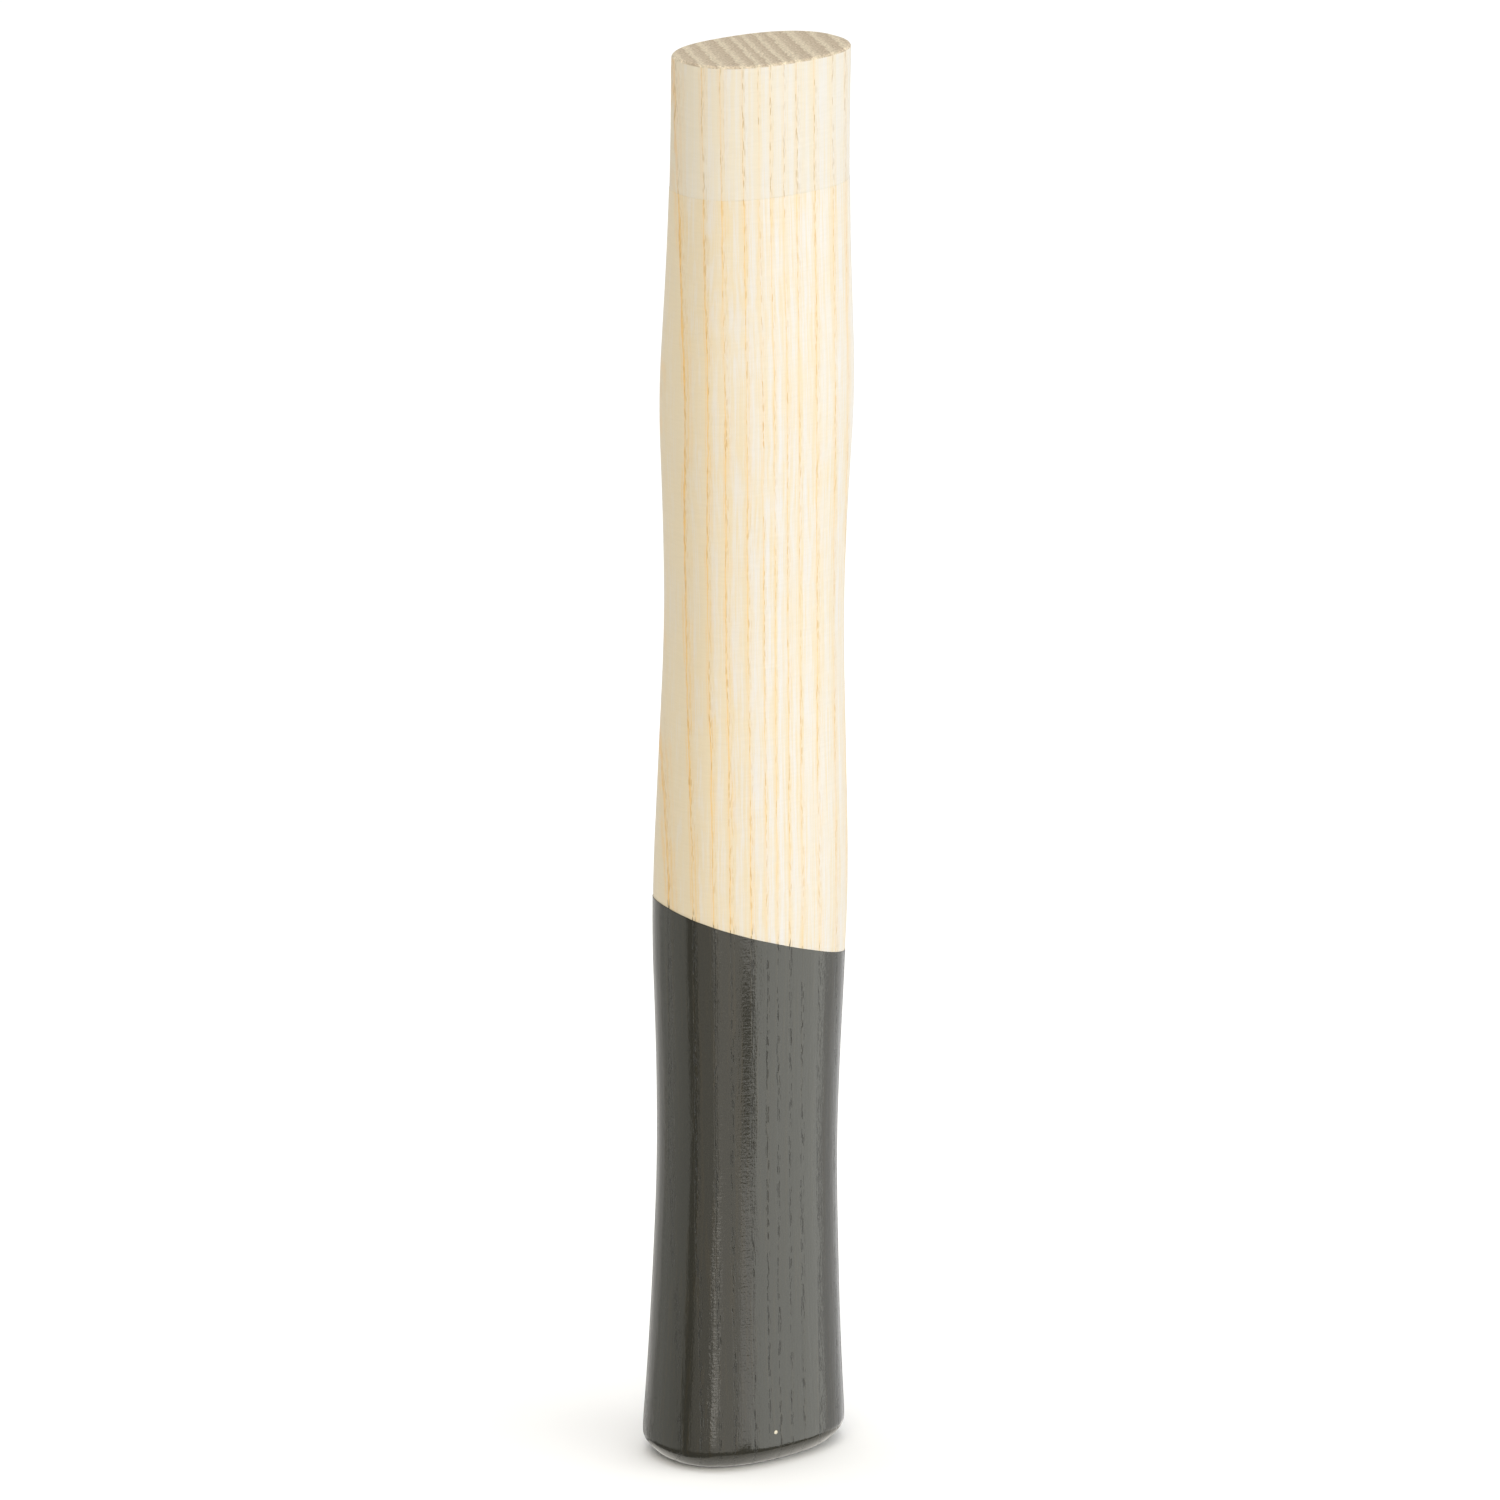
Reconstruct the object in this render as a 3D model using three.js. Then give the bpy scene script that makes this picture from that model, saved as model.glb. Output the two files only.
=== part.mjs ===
// A short oval ash handle for a heavy hand hammer, as it is sold before a head is wedged on:
// the turned ash, a clear lacquer over all but the eye end, and a grey dip coat on the grip.
//
// Frame, in millimetres: the origin is the centre of the butt, +Z runs up the handle to the
// eye end, and +X lies along the long way of the oval section.

import * as THREE from "three";
import { mergeGeometries } from "three/addons/utils/BufferGeometryUtils.js";

// Driving dimensions.
const LENGTH = 280;
const CLEAR_COAT = 0.1; // thickness of the clear lacquer
const GRIP_COAT = 0.2; // thickness of the grey coat, over the clear one
const CLEAR_LINE = 254; // height at which the clear lacquer stops; the wood above it is bare
const GRIP_LINE = 106.7; // height of the grey coat's rim on the handle's axis
const GRIP_LINE_SLANT = new THREE.Vector2(-0.32, 0.13); // the rim's rise along +X and along +Y
const SLANT_REACH = 70; // height over which the rows above and below ease into the slanted rim
const BUTT_CHAMFER = 3.2;
const EYE_EDGE = 0.4; // broken edge round the sawn eye end

// Half the wood's width along X at each height: the flared butt, the grip's waist and swell,
// the long waist, the shoulder under the head and the plain stretch that the eye takes.
const HALF_WIDTHS = [
  [0, 21.1],
  [16, 20],
  [36, 19.1],
  [60, 18.45],
  [84, 19],
  [112, 20.25],
  [140, 19.5],
  [169, 18.65],
  [192, 19.3],
  [213, 20.3],
  [232, 19.5],
  [250, 18.85],
  [LENGTH, 18.7],
];
const OVAL_AT_BUTT = 0.712; // section's short side over its long side
const OVAL_AT_EYE = 0.63;
const SQUARENESS = 2.4; // 2 is an ellipse, and more fills out its corners

const SEGMENTS = 40; // facets round the section
const ROW_HEIGHT = 9;

const heights = HALF_WIDTHS.map(([height]) => height);
const halfWidths = HALF_WIDTHS.map(([, halfWidth]) => halfWidth);
const outline = new THREE.CubicInterpolant(heights, halfWidths, 1);
const halfWidthAt = (height) => outline.evaluate(THREE.MathUtils.clamp(height, 0, LENGTH))[0];

// Moves a lathe's work, which is round about +Y, onto the handle's oval about +Z. A point keeps
// its distance from the wood's skin, and the rows near the grip line take that line's slant.
function ovalFrom(profile) {
  const geometry = new THREE.LatheGeometry(profile, SEGMENTS);
  const position = geometry.getAttribute("position");
  const turned = new THREE.Vector3();
  for (let i = 0; i < position.count; i++) {
    turned.fromBufferAttribute(position, i);
    const radius = Math.hypot(turned.x, turned.z);
    if (radius === 0) {
      position.setXYZ(i, 0, 0, turned.y);
      continue;
    }
    const cosine = corner(turned.z / radius);
    const sine = corner(turned.x / radius);
    const height = turned.y + slantAt(turned.y, cosine, sine);
    const fromSkin = radius - halfWidthAt(turned.y);
    const halfWidth = halfWidthAt(height) + fromSkin;
    const halfDepth = halfWidthAt(height) * ovalAt(height) + fromSkin;
    position.setXYZ(i, halfWidth * cosine, halfDepth * sine, height);
  }
  geometry.computeVertexNormals();
  return geometry;
}

function corner(part) {
  return Math.sign(part) * Math.abs(part) ** (2 / SQUARENESS);
}

function ovalAt(height) {
  return THREE.MathUtils.lerp(OVAL_AT_BUTT, OVAL_AT_EYE, height / LENGTH);
}

function slantAt(height, cosine, sine) {
  const share = Math.max(0, 1 - Math.abs(height - GRIP_LINE) / SLANT_REACH);
  const halfWidth = halfWidthAt(GRIP_LINE);
  const halfDepth = halfWidth * ovalAt(GRIP_LINE);
  return share * (GRIP_LINE_SLANT.x * halfWidth * cosine + GRIP_LINE_SLANT.y * halfDepth * sine);
}

// Row heights between two levels, both left out, about ROW_HEIGHT apart.
function rowsBetween(low, high) {
  const count = Math.round((high - low) / ROW_HEIGHT);
  return Array.from({ length: count - 1 }, (_, i) => low + ((high - low) * (i + 1)) / count);
}

// The profile of a skin that lies lift outside the wood, from the butt's centre up to the level
// top. A coat's inner skin has the rows and facets of the skin under it, so they meet face to face.
const BUTT_LEVEL = CLEAR_COAT + GRIP_COAT; // height of the wood's own butt
const MITRE = Math.tan(Math.PI / 8); // how far a 45 degree corner moves for each unit of lift

function skin(lift, top) {
  const flat = BUTT_LEVEL - lift;
  const chamferTop = BUTT_LEVEL + BUTT_CHAMFER - MITRE * lift;
  const rows = [
    ...rowsBetween(BUTT_LEVEL + BUTT_CHAMFER, GRIP_LINE),
    GRIP_LINE,
    ...rowsBetween(GRIP_LINE, CLEAR_LINE),
    CLEAR_LINE,
    ...rowsBetween(CLEAR_LINE, LENGTH),
    LENGTH - EYE_EDGE,
  ].filter((height) => height <= top);
  return [
    new THREE.Vector2(0, flat),
    new THREE.Vector2(halfWidthAt(flat) - BUTT_CHAMFER + MITRE * lift, flat),
    new THREE.Vector2(halfWidthAt(chamferTop) + lift, chamferTop),
    ...rows.map((height) => new THREE.Vector2(halfWidthAt(height) + lift, height)),
  ];
}

// A coat is a thin cup: its outer skin, the rim's narrow face, and its inner skin turned inwards.
function coat(inner, outer, rim) {
  const outerSkin = skin(outer, rim);
  const innerSkin = skin(inner, rim);
  return mergeGeometries([
    ovalFrom(outerSkin),
    ovalFrom([outerSkin.at(-1), innerSkin.at(-1)]),
    turnedInwards(ovalFrom(innerSkin)),
  ]);
}

function turnedInwards(geometry) {
  const corners = geometry.index.array;
  for (let i = 0; i < corners.length; i += 3) {
    [corners[i + 1], corners[i + 2]] = [corners[i + 2], corners[i + 1]];
  }
  geometry.computeVertexNormals();
  return geometry;
}

function piece(name, geometry, finish) {
  const mesh = new THREE.Mesh(geometry, new THREE.MeshStandardMaterial({ metalness: 0, ...finish }));
  mesh.name = name;
  return mesh;
}

const ashShaft = piece(
  "ash_shaft",
  ovalFrom([
    ...skin(0, LENGTH),
    new THREE.Vector2(halfWidthAt(LENGTH) - EYE_EDGE, LENGTH),
    new THREE.Vector2(0, LENGTH),
  ]),
  { color: 0xe8dcc4, roughness: 0.7 },
);

const clearLacquer = piece("clear_lacquer", coat(0, CLEAR_COAT, CLEAR_LINE), {
  color: 0xf4e4c4,
  roughness: 0.35,
});

const gripLacquer = piece(
  "grip_lacquer",
  coat(CLEAR_COAT, CLEAR_COAT + GRIP_COAT, GRIP_LINE),
  { color: 0x55554f, roughness: 0.22 },
);

const handle = new THREE.Group();
handle.name = "hammer_handle";
handle.add(ashShaft, clearLacquer, gripLacquer);

export default handle;
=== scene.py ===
import math

import bmesh
import bpy
from mathutils import Matrix, Vector


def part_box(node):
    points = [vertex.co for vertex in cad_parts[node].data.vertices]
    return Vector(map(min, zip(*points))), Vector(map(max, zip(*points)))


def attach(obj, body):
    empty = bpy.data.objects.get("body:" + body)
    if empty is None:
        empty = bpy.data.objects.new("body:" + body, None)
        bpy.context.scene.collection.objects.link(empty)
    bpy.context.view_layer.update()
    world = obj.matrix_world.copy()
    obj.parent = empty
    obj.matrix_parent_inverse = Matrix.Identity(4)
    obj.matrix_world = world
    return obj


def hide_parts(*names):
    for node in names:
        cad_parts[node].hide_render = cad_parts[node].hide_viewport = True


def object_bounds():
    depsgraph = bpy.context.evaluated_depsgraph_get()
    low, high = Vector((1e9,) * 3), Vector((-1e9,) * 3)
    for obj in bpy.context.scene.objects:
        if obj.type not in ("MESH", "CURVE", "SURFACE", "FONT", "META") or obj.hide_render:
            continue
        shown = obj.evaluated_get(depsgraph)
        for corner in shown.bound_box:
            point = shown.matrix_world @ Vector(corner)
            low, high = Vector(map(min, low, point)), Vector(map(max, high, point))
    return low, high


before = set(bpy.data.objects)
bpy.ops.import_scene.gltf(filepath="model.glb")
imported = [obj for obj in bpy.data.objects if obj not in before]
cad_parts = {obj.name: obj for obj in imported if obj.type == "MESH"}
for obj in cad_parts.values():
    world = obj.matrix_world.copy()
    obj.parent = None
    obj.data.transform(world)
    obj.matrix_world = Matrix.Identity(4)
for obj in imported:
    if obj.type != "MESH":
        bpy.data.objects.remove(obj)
cad_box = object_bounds()


# ---- Ash shaft ---------------------------------------------------------------------------
# One stick of ash, turned and sanded to an oval. Only its top shows as bare wood: the plain
# stretch that a head slips over, and the sawn end, whose edge is just broken.

MM = 0.001

# The growth rings cross the handle as nearly flat layers. Widths in mm from the left nose.
RINGS = (4.0, 4.3, 3.7, 3.6, 3.1, 4.2, 3.2, 2.3, 2.8, 2.7, 3.9, 4.4, 3.3, 3.8, 4.1)
FIRST_RING = -24.5  # where the first one starts, in mm from the handle's axis
RING_TURN = math.radians(-25)  # from the oval's long way
RING_LEAN = 0.0195  # how far a ring drifts sideways for each mm up the handle

# What bends the rings, as clouds to a mm across the handle and along it, and their size in mm.
RING_WAVES = ((1 / 24, 1 / 130, 1.3), (1 / 5, 1 / 22, 0.5), (1 / 2, 1 / 4, 0.35), (2, 1 / 3, 0.3))
WANDER_MEAN = 1.2  # what these add on average, in mm

SAWN_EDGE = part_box("ash_shaft")[1].z - MM  # above it the skin only turns at the sawn end
CHAMFER_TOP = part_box("ash_shaft")[0].z + 6 * MM  # below it the skin only turns at the chamfer
BUTT_ROUNDING = 1.25 * MM
SAWN_ROUNDING = 0.12 * MM
JOIN = 0.005 * MM  # points closer than this are one
FLAT = 0.999  # a normal this upright is a flat end's
SHARP = 20  # degrees; only the edges of ends, rims and chamfers turn by more
BARELY_SHARP = 8  # degrees; such an edge still turns by more once it has been bevelled


def worked_copy(node, name):
    """A CAD node's faces as one mesh of quads, with its flat ends as single faces, in edit mode."""
    bpy.ops.object.select_all(action="DESELECT")
    piece = bpy.data.objects.new(name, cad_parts[node].data.copy())
    bpy.context.collection.objects.link(piece)
    bpy.context.view_layer.objects.active = piece
    piece.select_set(True)
    bpy.ops.mesh.customdata_custom_splitnormals_clear()
    bpy.ops.object.mode_set(mode="EDIT")
    bpy.ops.mesh.select_all(action="SELECT")
    bpy.ops.mesh.remove_doubles(threshold=JOIN)
    select_faces(piece, lambda face: abs(face.normal.z) > FLAT)
    bpy.ops.mesh.dissolve_faces()
    bpy.ops.mesh.select_all(action="SELECT")
    bpy.ops.mesh.tris_convert_to_quads()
    return piece


def select_faces(piece, wanted):
    bpy.ops.mesh.select_mode(type="FACE")
    bpy.ops.mesh.select_all(action="DESELECT")
    mesh = bmesh.from_edit_mesh(piece.data)
    for face in mesh.faces:
        face.select_set(wanted(face))
    bmesh.update_edit_mesh(piece.data)


def select_edges(piece, wanted):
    bpy.ops.mesh.select_mode(type="EDGE")
    bpy.ops.mesh.select_all(action="DESELECT")
    mesh = bmesh.from_edit_mesh(piece.data)
    mesh.normal_update()
    for edge in mesh.edges:
        edge.select_set(wanted(edge))
    bmesh.update_edit_mesh(piece.data)


def turns_at_least(degrees):
    """Edges where the surface turns a corner."""
    return lambda edge: len(edge.link_faces) == 2 and edge.calc_face_angle() > math.radians(degrees)


def round_butt(piece):
    """Rounds the chamfer's edges, by the same amount on the wood and on each coat over it."""
    sharp = turns_at_least(SHARP)
    select_edges(piece, lambda edge: sharp(edge) and edge.verts[0].co.z < CHAMFER_TOP)
    bpy.ops.mesh.bevel(offset=BUTT_ROUNDING, segments=2, affect="EDGES")


def smoothed(piece, levels):
    """Leaves edit mode and rounds the facets off for good."""
    bpy.ops.object.mode_set(mode="OBJECT")
    rounding = piece.modifiers.new("rounding", "SUBSURF")
    rounding.levels = rounding.render_levels = levels
    bpy.ops.object.modifier_apply(modifier=rounding.name)
    bpy.ops.object.shade_smooth()


# Where each part of a piece goes on its map: left, bottom, width and height.
OUTER_SIDE = (0.01, 0.25, 0.98, 0.74)
INNER_SIDE = (0.72, 0.01, 0.27, 0.22)
UPPER_END = (0.01, 0.01, 0.3, 0.3)
LOWER_END = (0.36, 0.01, 0.3, 0.3)
END_TILT = 0.85  # a normal more upright than this goes with an end


def unrolled(piece):
    """A map that opens the side out flat, with the ends and any inner skin in a strip below it."""
    places = [vertex.co for vertex in piece.data.vertices]
    low = Vector(min(place[axis] for place in places) for axis in range(3))
    size = Vector(max(place[axis] for place in places) for axis in range(3)) - low
    layer = piece.data.uv_layers.new(name="OFBake")
    for face in piece.data.polygons:
        round_handle = math.atan2(face.center.x, -face.center.y) / math.tau
        outward = face.normal.x * face.center.x + face.normal.y * face.center.y > 0
        on_end = abs(face.normal.z) > END_TILT
        if on_end:
            area = UPPER_END if face.normal.z > 0 else LOWER_END
        else:
            area = OUTER_SIDE if outward else INNER_SIDE
        left, bottom, width, height = area
        for corner in face.loop_indices:
            point = places[piece.data.loops[corner].vertex_index]
            if on_end:
                across = (point.x - low.x) / size.x
                up = (point.y - low.y) / size.x
            else:
                turn = math.atan2(point.x, -point.y) / math.tau
                across = turn + round(round_handle - turn) + 0.5  # the seam is at the back
                up = (point.z - low.z) / size.z
            layer.data[corner].uv = (left + width * across, bottom + height * up)


class Wire:
    """An output in a material's nodes. Arithmetic on wires adds the Math nodes that do it."""

    def __init__(self, tree, socket=None):
        self.tree = tree
        self.socket = socket

    def node(self, kind, settings=None, inputs=None, output=0):
        """Adds a node: its settings first, then its sockets' values or wires."""
        made = self.tree.nodes.new("ShaderNode" + kind)
        for setting, value in (settings or {}).items():
            if setting == "stops":
                while len(made.color_ramp.elements) < len(value):
                    made.color_ramp.elements.new(0.5)
                for element, (place, shade) in zip(made.color_ramp.elements, value):
                    element.position = place
                    shade = shade if isinstance(shade, tuple) else (shade, shade, shade)
                    element.color = (*shade, 1)
            else:
                setattr(made, setting, value)
        for name, value in (inputs or {}).items():
            if isinstance(value, Wire):
                self.tree.links.new(value.socket, made.inputs[name])
            else:
                made.inputs[name].default_value = value
        return Wire(self.tree, made.outputs[output])

    def math(self, operation, *others):
        return self.node("Math", {"operation": operation}, dict(enumerate((self, *others))))

    def __add__(self, other):
        return self.math("ADD", other)

    def __sub__(self, other):
        return self.math("SUBTRACT", other)

    def __rsub__(self, other):
        return self.node("Math", {"operation": "SUBTRACT"}, {0: other, 1: self})

    def __mul__(self, other):
        return self.math("MULTIPLY", other)

    __radd__ = __add__
    __rmul__ = __mul__

    def between(self, low, high):
        """0 at low and 1 at high, with a soft start and end."""
        settings = {"interpolation_type": "SMOOTHSTEP"}
        return self.node("MapRange", settings, {"Value": self, "From Min": low, "From Max": high})

    def along(self, *stops):
        """What this value's place along a ramp of (place, shade) stops gives."""
        return self.node("ValToRGB", {"stops": stops}, {0: self})

    def mixed(self, first, second):
        """The first colour where this value is 0, and the second where it is 1."""
        ends = [end if isinstance(end, Wire) else (*end, 1) for end in (first, second)]
        # Its colour sockets go by number, because its sockets for values have the same names.
        return self.node("Mix", {"data_type": "RGBA"}, {0: self, 6: ends[0], 7: ends[1]}, output=2)

    def shaded(self, factor):
        """This colour made lighter or darker."""
        return self.node("VectorMath", {"operation": "SCALE"}, {0: self, "Scale": factor})

    def noise(self, *scale, detail=2):
        """Cloudy noise at this place, with so many clouds to a mm along each axis."""
        stretched = self.node("VectorMath", {"operation": "MULTIPLY"}, {0: self, 1: scale})
        return self.node("TexNoise", None, {"Vector": stretched, "Scale": 1, "Detail": detail})


def new_material(piece, name):
    """An empty finish on a piece, as the wire its first nodes grow from and its shader's inputs."""
    material = bpy.data.materials.new(name)
    material.use_nodes = True
    piece.data.materials.clear()
    piece.data.materials.append(material)
    return Wire(material.node_tree), material.node_tree.nodes["Principled BSDF"].inputs


def connect(inputs, **values):
    for name, value in values.items():
        socket = inputs[name.replace("_", " ")]
        if isinstance(value, Wire):
            value.tree.links.new(value.socket, socket)
        else:
            socket.default_value = value


def grain(start):
    """The ash itself, the same at every point of the stick whatever covers it."""
    place = start.node("TexCoord", output="Object").shaded(1 / MM)
    x, y, z = (start.node("SeparateXYZ", None, {0: place}, output=axis) for axis in range(3))
    wander = sum(place.noise(wide, wide, tall) * size for wide, tall, size in RING_WAVES)
    across = x * math.cos(RING_TURN) + y * math.sin(RING_TURN) + z * RING_LEAN
    across = across + wander - WANDER_MEAN
    along_ring = y * math.cos(RING_TURN) - x * math.sin(RING_TURN)
    grid = start.node("CombineXYZ", None, {0: across, 1: along_ring, 2: z})

    # Which ring a point is in, and how far through it, from 0 at the open pores of spring to 1
    # at the end of the dense wood of summer.
    edges = [sum(RINGS[:i]) / sum(RINGS) for i in range(len(RINGS) + 1)]
    share = (across - FIRST_RING) * (1 / sum(RINGS))
    stops = ((edge, i / len(RINGS)) for i, edge in enumerate(edges))
    counted = share.along(*stops) * len(RINGS)
    ring = counted.math("FLOOR")
    phase = counted.math("FRACT")

    # The line where a ring begins, and fainter ones beside it that come and go.
    one_ring = start.node("CombineXYZ", None, {0: ring * 7.3, 1: along_ring * 0.03, 2: z * 0.04})
    fade = one_ring.noise(1, 1, 1)
    main = phase.along((0, 1), (0.035, 0.8), (0.06, 0.25), (0.13, 0), (0.96, 0), (0.985, 0.4), (1, 1))
    echoes = phase.along(
        (0.08, 0), (0.16, 0.6), (0.22, 0), (0.29, 0.35), (0.35, 0), (0.86, 0), (0.92, 0.6), (0.96, 0),
    )
    echoes = echoes * one_ring.noise(1.7, 1.7, 1.9).between(0.42, 0.62)
    line = (main * (fade.between(0.3, 0.6) * 0.8 + 0.2)).math("MAXIMUM", echoes * 0.75)
    late = phase.along((0, 1), (0.12, 0.6), (0.3, 0.1), (0.36, 0), (0.6, 0.15), (0.85, 0.6), (1, 1))

    # Pores: short vessels along the grain, crowded into the start of a ring, in patches.
    row = phase.along((0, 1), (0.06, 0.9), (0.12, 0.4), (0.25, 0.12), (0.45, 0), (0.97, 0), (1, 1))
    cells = grid.node("VectorMath", {"operation": "MULTIPLY"}, {0: grid, 1: (3.6, 3.6, 0.42)})
    vessels = start.node("TexVoronoi", None, {"Vector": cells, "Scale": 1}).between(0.46, 0.28)
    patchy = grid.noise(0.35, 0.35, 0.07).between(0.3, 0.52)
    return {
        "place": place,
        "z": z,
        "counted": counted,
        "line": line,
        "late": late,
        "fade": fade,
        # More amber towards the left nose: partly the wood's own tint, partly painted shade of that
        # less lit side.
        "heart_tint_and_shade": across.between(5, -19),
        "streak": grid.noise(1.5, 1.5, 0.009, detail=3),
        "fibre": grid.noise(3.4, 3.4, 0.09, detail=3),
        "ripple": place.noise(0.3, 0.3, 2.4),
        "pore": vessels * row * patchy,
    }


def ash_colour(wood, cream, amber, orange, vessel):
    """Cream wood, amber round the start of each ring, with an orange line and brown vessels, and
    painted shade that makes the left nose more amber and its lines stronger.
    """
    yellowed = wood["late"] * (wood["fade"].between(0.25, 0.7) * 0.5 + 0.25)
    # Painted shade, partly the wood's own tint: the left nose gets more amber here and stronger lines
    # below.
    yellowed = yellowed + wood["heart_tint_and_shade"] * 0.7
    yellowed = yellowed + wood["streak"].between(0.44, 0.66) * 0.5
    yellowed = yellowed + wood["fibre"].between(0.38, 0.66) * 0.5
    lined = wood["line"] * (0.5 + wood["heart_tint_and_shade"] * 0.7)
    colour = lined.mixed(yellowed.mixed(cream, amber), orange)
    colour = colour.shaded(0.95 + wood["fibre"] * 0.03 + wood["ripple"] * 0.08)
    return (wood["pore"] * (wood["fade"] * 0.6 + 0.4)).mixed(colour, vessel)


def at_sawn_end(edge):
    """Edges round the sawn end, where the surface turns a corner."""
    return edge.verts[0].co.z > SAWN_EDGE and edge.calc_face_angle(0) > math.radians(BARELY_SHARP)


ash = worked_copy("ash_shaft", "turned_ash")
round_butt(ash)
select_edges(ash, at_sawn_end)
bpy.ops.transform.edge_crease(value=1)
smoothed(ash, levels=2)
bpy.ops.object.mode_set(mode="EDIT")
select_edges(ash, at_sawn_end)
bpy.ops.mesh.bevel(offset=SAWN_ROUNDING, segments=2, affect="EDGES")
select_edges(ash, at_sawn_end)
bpy.ops.mesh.mark_sharp()
bpy.ops.object.mode_set(mode="OBJECT")
unrolled(ash)

start, shader = new_material(ash, "bare_ash")
wood = grain(start)
side = ash_colour(
    wood,
    cream=(0.572, 0.555, 0.535),
    amber=(0.588, 0.527, 0.415),
    orange=(0.63, 0.46, 0.26),
    vessel=(0.36, 0.235, 0.1),
)
torn = wood["place"].noise(0.7, 0.7, 0.7, detail=4)
sawn = (wood["counted"] + torn * 0.7 - 0.35).math("FRACT").along(
    (0, (0.59, 0.515, 0.385)),
    (0.25, (0.57, 0.49, 0.365)),
    (0.4, (0.48, 0.4, 0.295)),
    (0.9, (0.425, 0.345, 0.25)),
    (1, (0.59, 0.515, 0.385)),
)
speckle = wood["place"].noise(2.4, 2.4, 2.4, detail=4)
sawn = sawn.shaded(0.23 + speckle * 1.46)
sawn = (wood["pore"] * 0.6).mixed(sawn, (0.33, 0.25, 0.16))
normal = start.node("TexCoord", output="Normal")
facing_up = start.node("SeparateXYZ", None, {0: normal}, output="Z").between(0.1, 0.3)
saw_marks = wood["place"].noise(0.12, 2.2, 0.1, detail=1) * 0.06 + speckle * 0.12
height = facing_up * saw_marks + wood["fibre"] * 0.006
bump = start.node("Bump", None, {"Height": height, "Distance": MM})
connect(shader, Base_Color=facing_up.mixed(side, sawn), Roughness=0.65, Normal=bump)
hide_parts("ash_shaft")
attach(ash, "root")


# ---- Clear lacquer -----------------------------------------------------------------------
# A thin satin film over all but the eye end. It wets the wood, so the grain under it shows
# deeper and more amber than the bare end's.

RIM_HEIGHT = 106.7  # of the grey coat, on the handle's axis
RIM_RISE = (-0.32, 0.13)  # along +X and along +Y
RIM_ROUNDING = 0.03 * MM  # on the rims of both coats

lacquer = worked_copy("clear_lacquer", "clear_lacquer_film")
round_butt(lacquer)
select_edges(lacquer, turns_at_least(SHARP))
bpy.ops.mesh.bevel(offset=RIM_ROUNDING, segments=1, affect="EDGES")
smoothed(lacquer, levels=2)
unrolled(lacquer)

start, shader = new_material(lacquer, "ash_under_lacquer")
wood = grain(start)
colour = ash_colour(
    wood,
    cream=(0.58, 0.56, 0.543),
    amber=(0.593, 0.505, 0.355),
    orange=(0.67, 0.425, 0.145),
    vessel=(0.5, 0.3, 0.1),
)
x, y = (start.node("SeparateXYZ", None, {0: wood["place"]}, output=axis) for axis in range(2))
over_rim = wood["z"] - x * RIM_RISE[0] - y * RIM_RISE[1] - RIM_HEIGHT  # in mm
wicked = wood["pore"] * over_rim.between(2.2, 0.5)  # grey lacquer drawn up past the rim
wicked = wicked + wood["line"].between(0.5, 0.9) * over_rim.between(0.7, 0.3)
colour = wicked.mixed(colour, (0.05, 0.047, 0.038))
height = wood["pore"] * -0.02 + wood["fibre"] * 0.004 + wood["ripple"] * 0.008
bump = start.node("Bump", None, {"Height": height, "Distance": MM})
connect(shader, Base_Color=colour, Roughness=0.4, Normal=bump)
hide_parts("clear_lacquer")
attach(lacquer, "root")


# ---- Grip lacquer ------------------------------------------------------------------------
# The butt end is dipped in dark grey gloss lacquer. The coat is thin, so it sinks into the
# open pores of the ash, rounds over the butt's chamfer and ends in a slanted rim.

CHIP = (-3.8, -14.8, 7.1)  # in mm, a speck knocked out of the coat just over the chamfer
RIM_TUCK = (0.9925, 0.989, 1)  # thins the coat by 0.15 mm at its rim


def dipped(piece, depth, width, length):
    """Raises and sinks the skin for good, in soft waves drawn out along the handle."""
    bpy.ops.object.empty_add()
    stretch = bpy.context.object
    stretch.scale = (width, width, length)
    waves = piece.modifiers.new("waves", "DISPLACE")
    waves.texture = bpy.data.textures.new("waves", "CLOUDS")
    waves.texture.noise_scale = 1
    waves.texture.noise_depth = 1
    waves.texture_coords = "OBJECT"
    waves.texture_coords_object = stretch
    waves.strength = depth
    bpy.context.view_layer.update()
    bpy.context.view_layer.objects.active = piece
    bpy.ops.object.modifier_apply(modifier=waves.name)
    bpy.data.objects.remove(stretch)


def outermost(edge):
    """Of the two edges round the rim, the one on the coat's own skin."""
    side = min(edge.link_faces, key=lambda face: abs(face.normal.z))
    return side.normal.x * edge.verts[0].co.x + side.normal.y * edge.verts[0].co.y > 0


grip = worked_copy("grip_lacquer", "grip_lacquer_coat")
round_butt(grip)
sharp = turns_at_least(SHARP)
select_edges(grip, lambda edge: sharp(edge) and edge.verts[0].co.z > CHAMFER_TOP and outermost(edge))
bpy.ops.transform.resize(value=RIM_TUCK, center_override=(0, 0, RIM_HEIGHT * MM))
bpy.ops.mesh.bevel(offset=RIM_ROUNDING, segments=2, affect="EDGES")
smoothed(grip, levels=3)
dipped(grip, depth=0.07 * MM, width=3.5 * MM, length=30 * MM)
unrolled(grip)

start, shader = new_material(grip, "grey_gloss_lacquer")
wood = grain(start)
grey = (0.0265, 0.0255, 0.0195)
brown_grey = (0.0355, 0.0305, 0.0195)
pore_shade_grey = (0.022, 0.021, 0.017)
bare_wood = (0.62, 0.57, 0.45)
brown_streak = wood["streak"].between(0.5, 0.7) * 0.6
dimple = wood["pore"].between(0.05, 0.6)
settings = {"operation": "DISTANCE"}
off_chip = start.node("VectorMath", settings, {0: wood["place"], 1: CHIP}, output="Value")
chip = off_chip.between(0.5, 0.3)
colour = brown_streak.mixed(grey, brown_grey)
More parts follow.
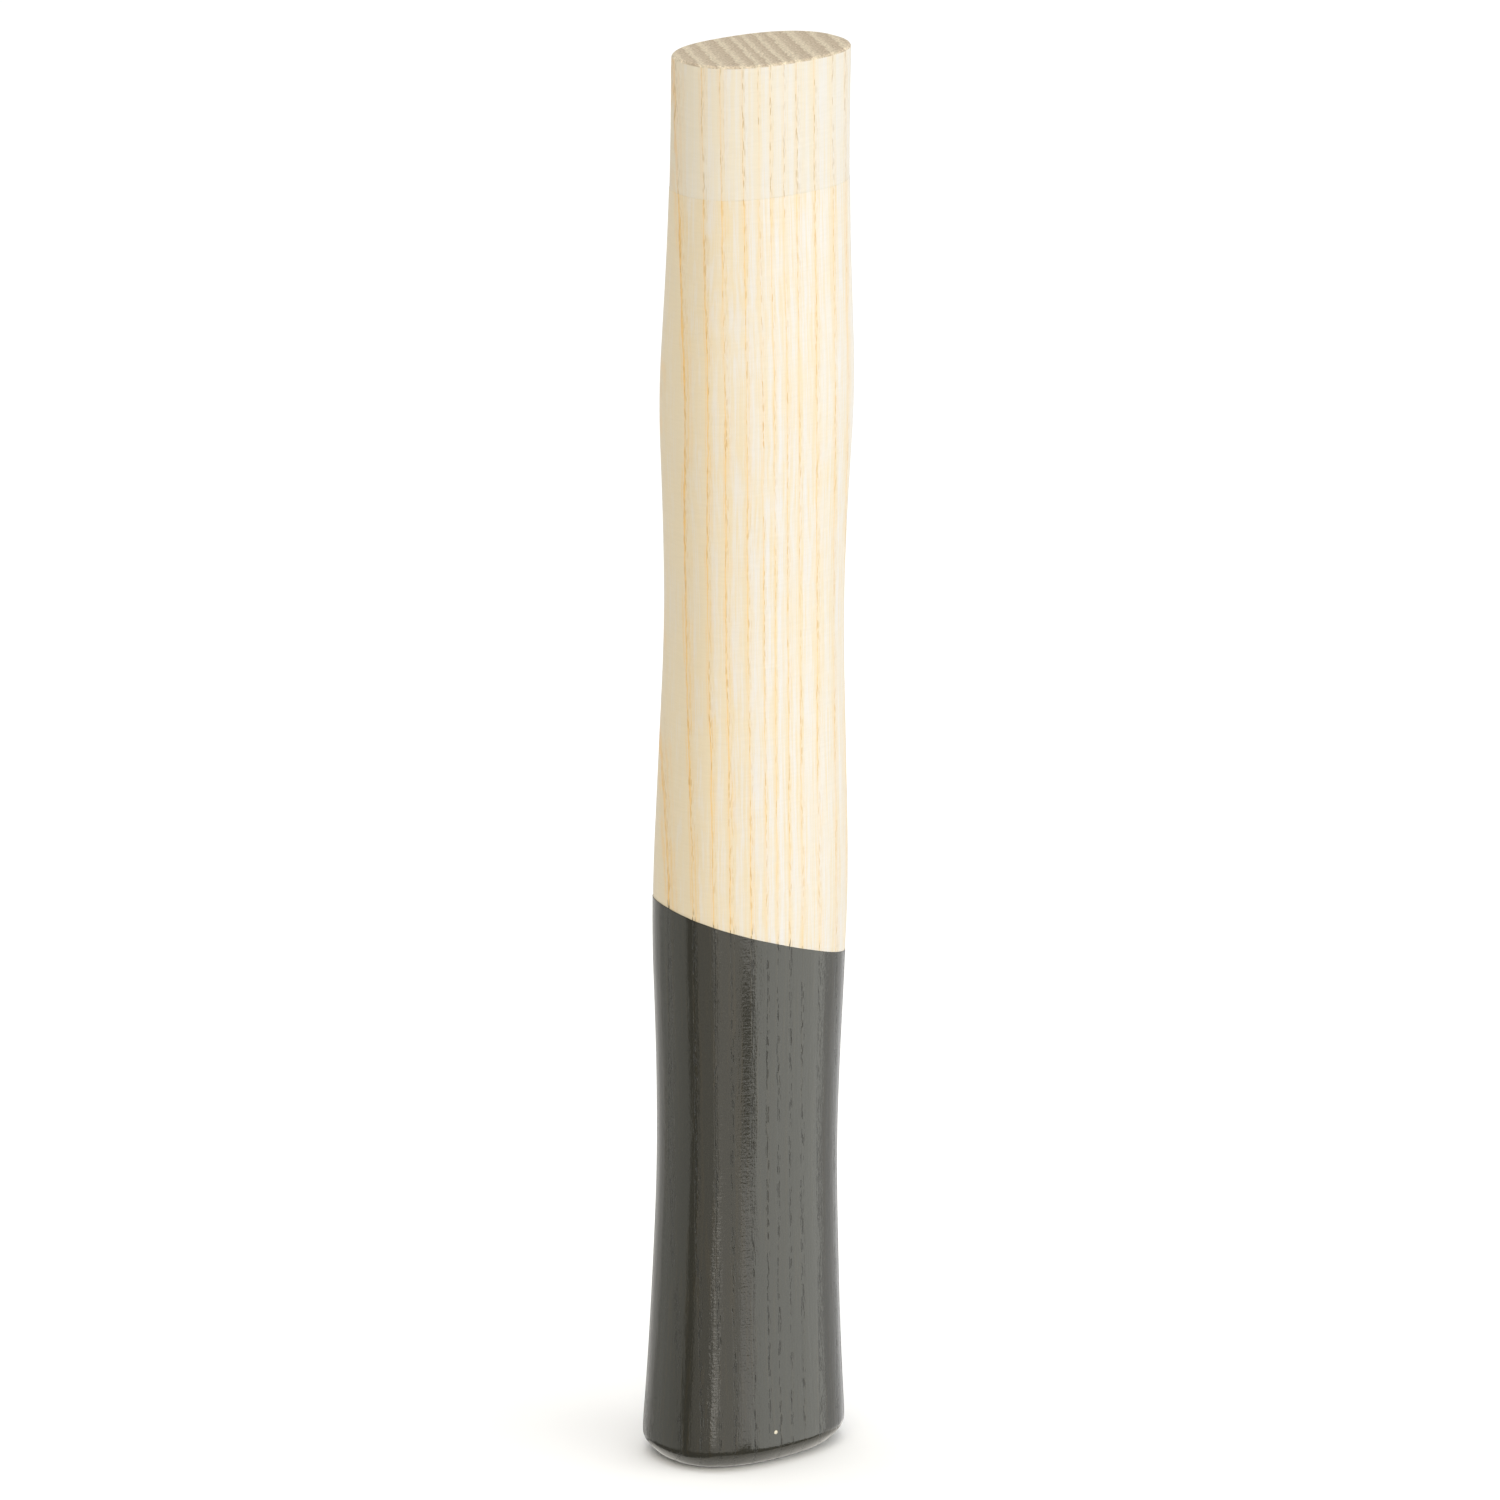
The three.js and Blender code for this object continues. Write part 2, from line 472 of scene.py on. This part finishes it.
# Painted shade: the coat is a darker grey in the pore dimples, where shade falls; the bump below also
# sinks them.
colour = dimple.mixed(colour, pore_shade_grey)
colour = chip.mixed(colour, bare_wood)
peel = wood["place"].noise(0.7, 0.7, 0.3)
fine_peel = wood["place"].noise(2.4, 2.4, 1.6)
height = dimple * -0.13 + chip * -0.1 + wood["line"] * -0.015 + wood["streak"] * 0.03
height = height + wood["ripple"] * 0.016 + peel * 0.035 + fine_peel * 0.024
bump = start.node("Bump", None, {"Height": height, "Distance": MM})
roughness = 0.09 + wood["fibre"] * 0.06 + dimple * 0.2 + chip * 0.5
connect(shader, Base_Color=colour, Roughness=roughness, Normal=bump)
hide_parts("grip_lacquer")
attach(grip, "root")


# ---- Studio ------------------------------------------------------------------------------
# A plain white floor, a soft box overhead, a warm key light, and soft panels all round with
# darker gaps between them. The gloss of the grip mirrors the panels and, in place of the floor,
# their lower halves and a box under the butt.

VIEW_TURN = -39  # degrees round the handle, from square to its broad face
PANEL_DISTANCE = 2.8
PANEL_LOW = -1.4
PANEL_HIGH = 2.0
POWER = 4  # watts for each square metre of a light's face, at a brightness of 1

bpy.ops.object.select_all(action="DESELECT")
bpy.ops.mesh.primitive_plane_add(size=24, location=(0, 0, cad_box[0].z))
floor = bpy.context.object
floor.name = "floor"
floor.visible_glossy = False
start, shader = new_material(floor, "white_paper")
connect(shader, Base_Color=(0.95, 0.95, 0.95, 1), Roughness=0.9)


def soft_box(name, place, aim, size, brightness, colour=(1, 1, 1)):
    """An area light whose power gives its face this brightness."""
    bpy.ops.object.light_add(type="AREA", location=place)
    made = bpy.context.object
    made.name = name
    made.rotation_euler = (Vector(aim) - Vector(place)).to_track_quat("-Z", "Y").to_euler()
    made.data.shape = "RECTANGLE"
    made.data.size, made.data.size_y = size
    made.data.energy = POWER * size[0] * size[1] * brightness
    made.data.color = colour
    made.visible_camera = False


def panel(name, left, right, brightness, colour=(1, 1, 1), low=PANEL_LOW, distance=PANEL_DISTANCE):
    """An upright panel that spans these degrees to the right of the camera, seen from the handle."""
    turn = math.radians(VIEW_TURN + (left + right) / 2)
    width = 2 * distance * math.tan(math.radians(right - left) / 2)
    middle = (low + PANEL_HIGH) / 2
    place = (math.sin(turn) * distance, -math.cos(turn) * distance, middle)
    soft_box(name, place, (0, 0, middle), (width, PANEL_HIGH - low), brightness, colour)


panel("far_left_panel", -165, -116, 0.65, (1, 0.98, 0.93))
panel("left_panel", -114, -62, 0.6, (0.98, 0.99, 0.92))
panel("front_left_panel", -42, -6, 0.5, (1, 0.95, 0.86))
panel("front_panel", -4, 36, 1.06, (1, 0.96, 0.88))
panel("strip_panel", -5, 5, 2.0, (1, 0.97, 0.9), low=-0.6, distance=2.6)
panel("gap_panel", 36, 52, 1.75, (1, 0.98, 0.94), low=-0.87)
panel("right_panel", 52, 105, 2.0, (0.985, 1, 0.95))
panel("far_right_panel", 105, 165, 0.8)
soft_box("overhead_box", (0, 0, 3.6), (0, 0, 0), (6.0, 6.0), 1.16)
soft_box("warm_key", (-0.95, -0.75, 1.15), (0, 0, 0.15), (0.9, 0.6), 1.7, (1, 0.88, 0.64))
soft_box("under_box", (0.3, 0.15, -0.3), (0.3, 0.15, 0), (0.8, 0.8), 0.7, (1, 0.96, 0.87))

world = bpy.data.worlds.new("studio")
bpy.context.scene.world = world
world.use_nodes = True
connect(world.node_tree.nodes["Background"].inputs, Color=(1, 1, 1, 1), Strength=0.15)
bpy.context.scene.view_settings.view_transform = "Standard"


# ---- Camera ------------------------------------------------------------------------------
# A long lens, a little above the handle, looks past the grip's left nose onto its broad face.
# It is aimed a hair off the handle's middle, and rolled a little.

VIEW_LIFT = 16.28  # degrees above level
VIEW_ROLL = 0.74  # degrees
DISTANCE = 2.439
LENS = 303.6  # in mm
AIM_LEFT = 0.45  # in mm from the handle's middle
AIM_UP = 1.26

turn = math.radians(VIEW_TURN)
lift = math.radians(VIEW_LIFT)
back = Vector((math.sin(turn) * math.cos(lift), -math.cos(turn) * math.cos(lift), math.sin(lift)))
right = Vector((math.cos(turn), math.sin(turn), 0))
middle = (cad_box[0] + cad_box[1]) / 2
aim = middle - right * AIM_LEFT * MM + back.cross(right) * AIM_UP * MM
bpy.ops.object.camera_add(location=middle + back * DISTANCE)
camera = bpy.context.object
facing = (aim - camera.location).to_track_quat("-Z", "Y").to_matrix()
camera.rotation_euler = (facing @ Matrix.Rotation(math.radians(VIEW_ROLL), 3, "Z")).to_euler()
camera.data.lens = LENS
bpy.context.scene.camera = camera
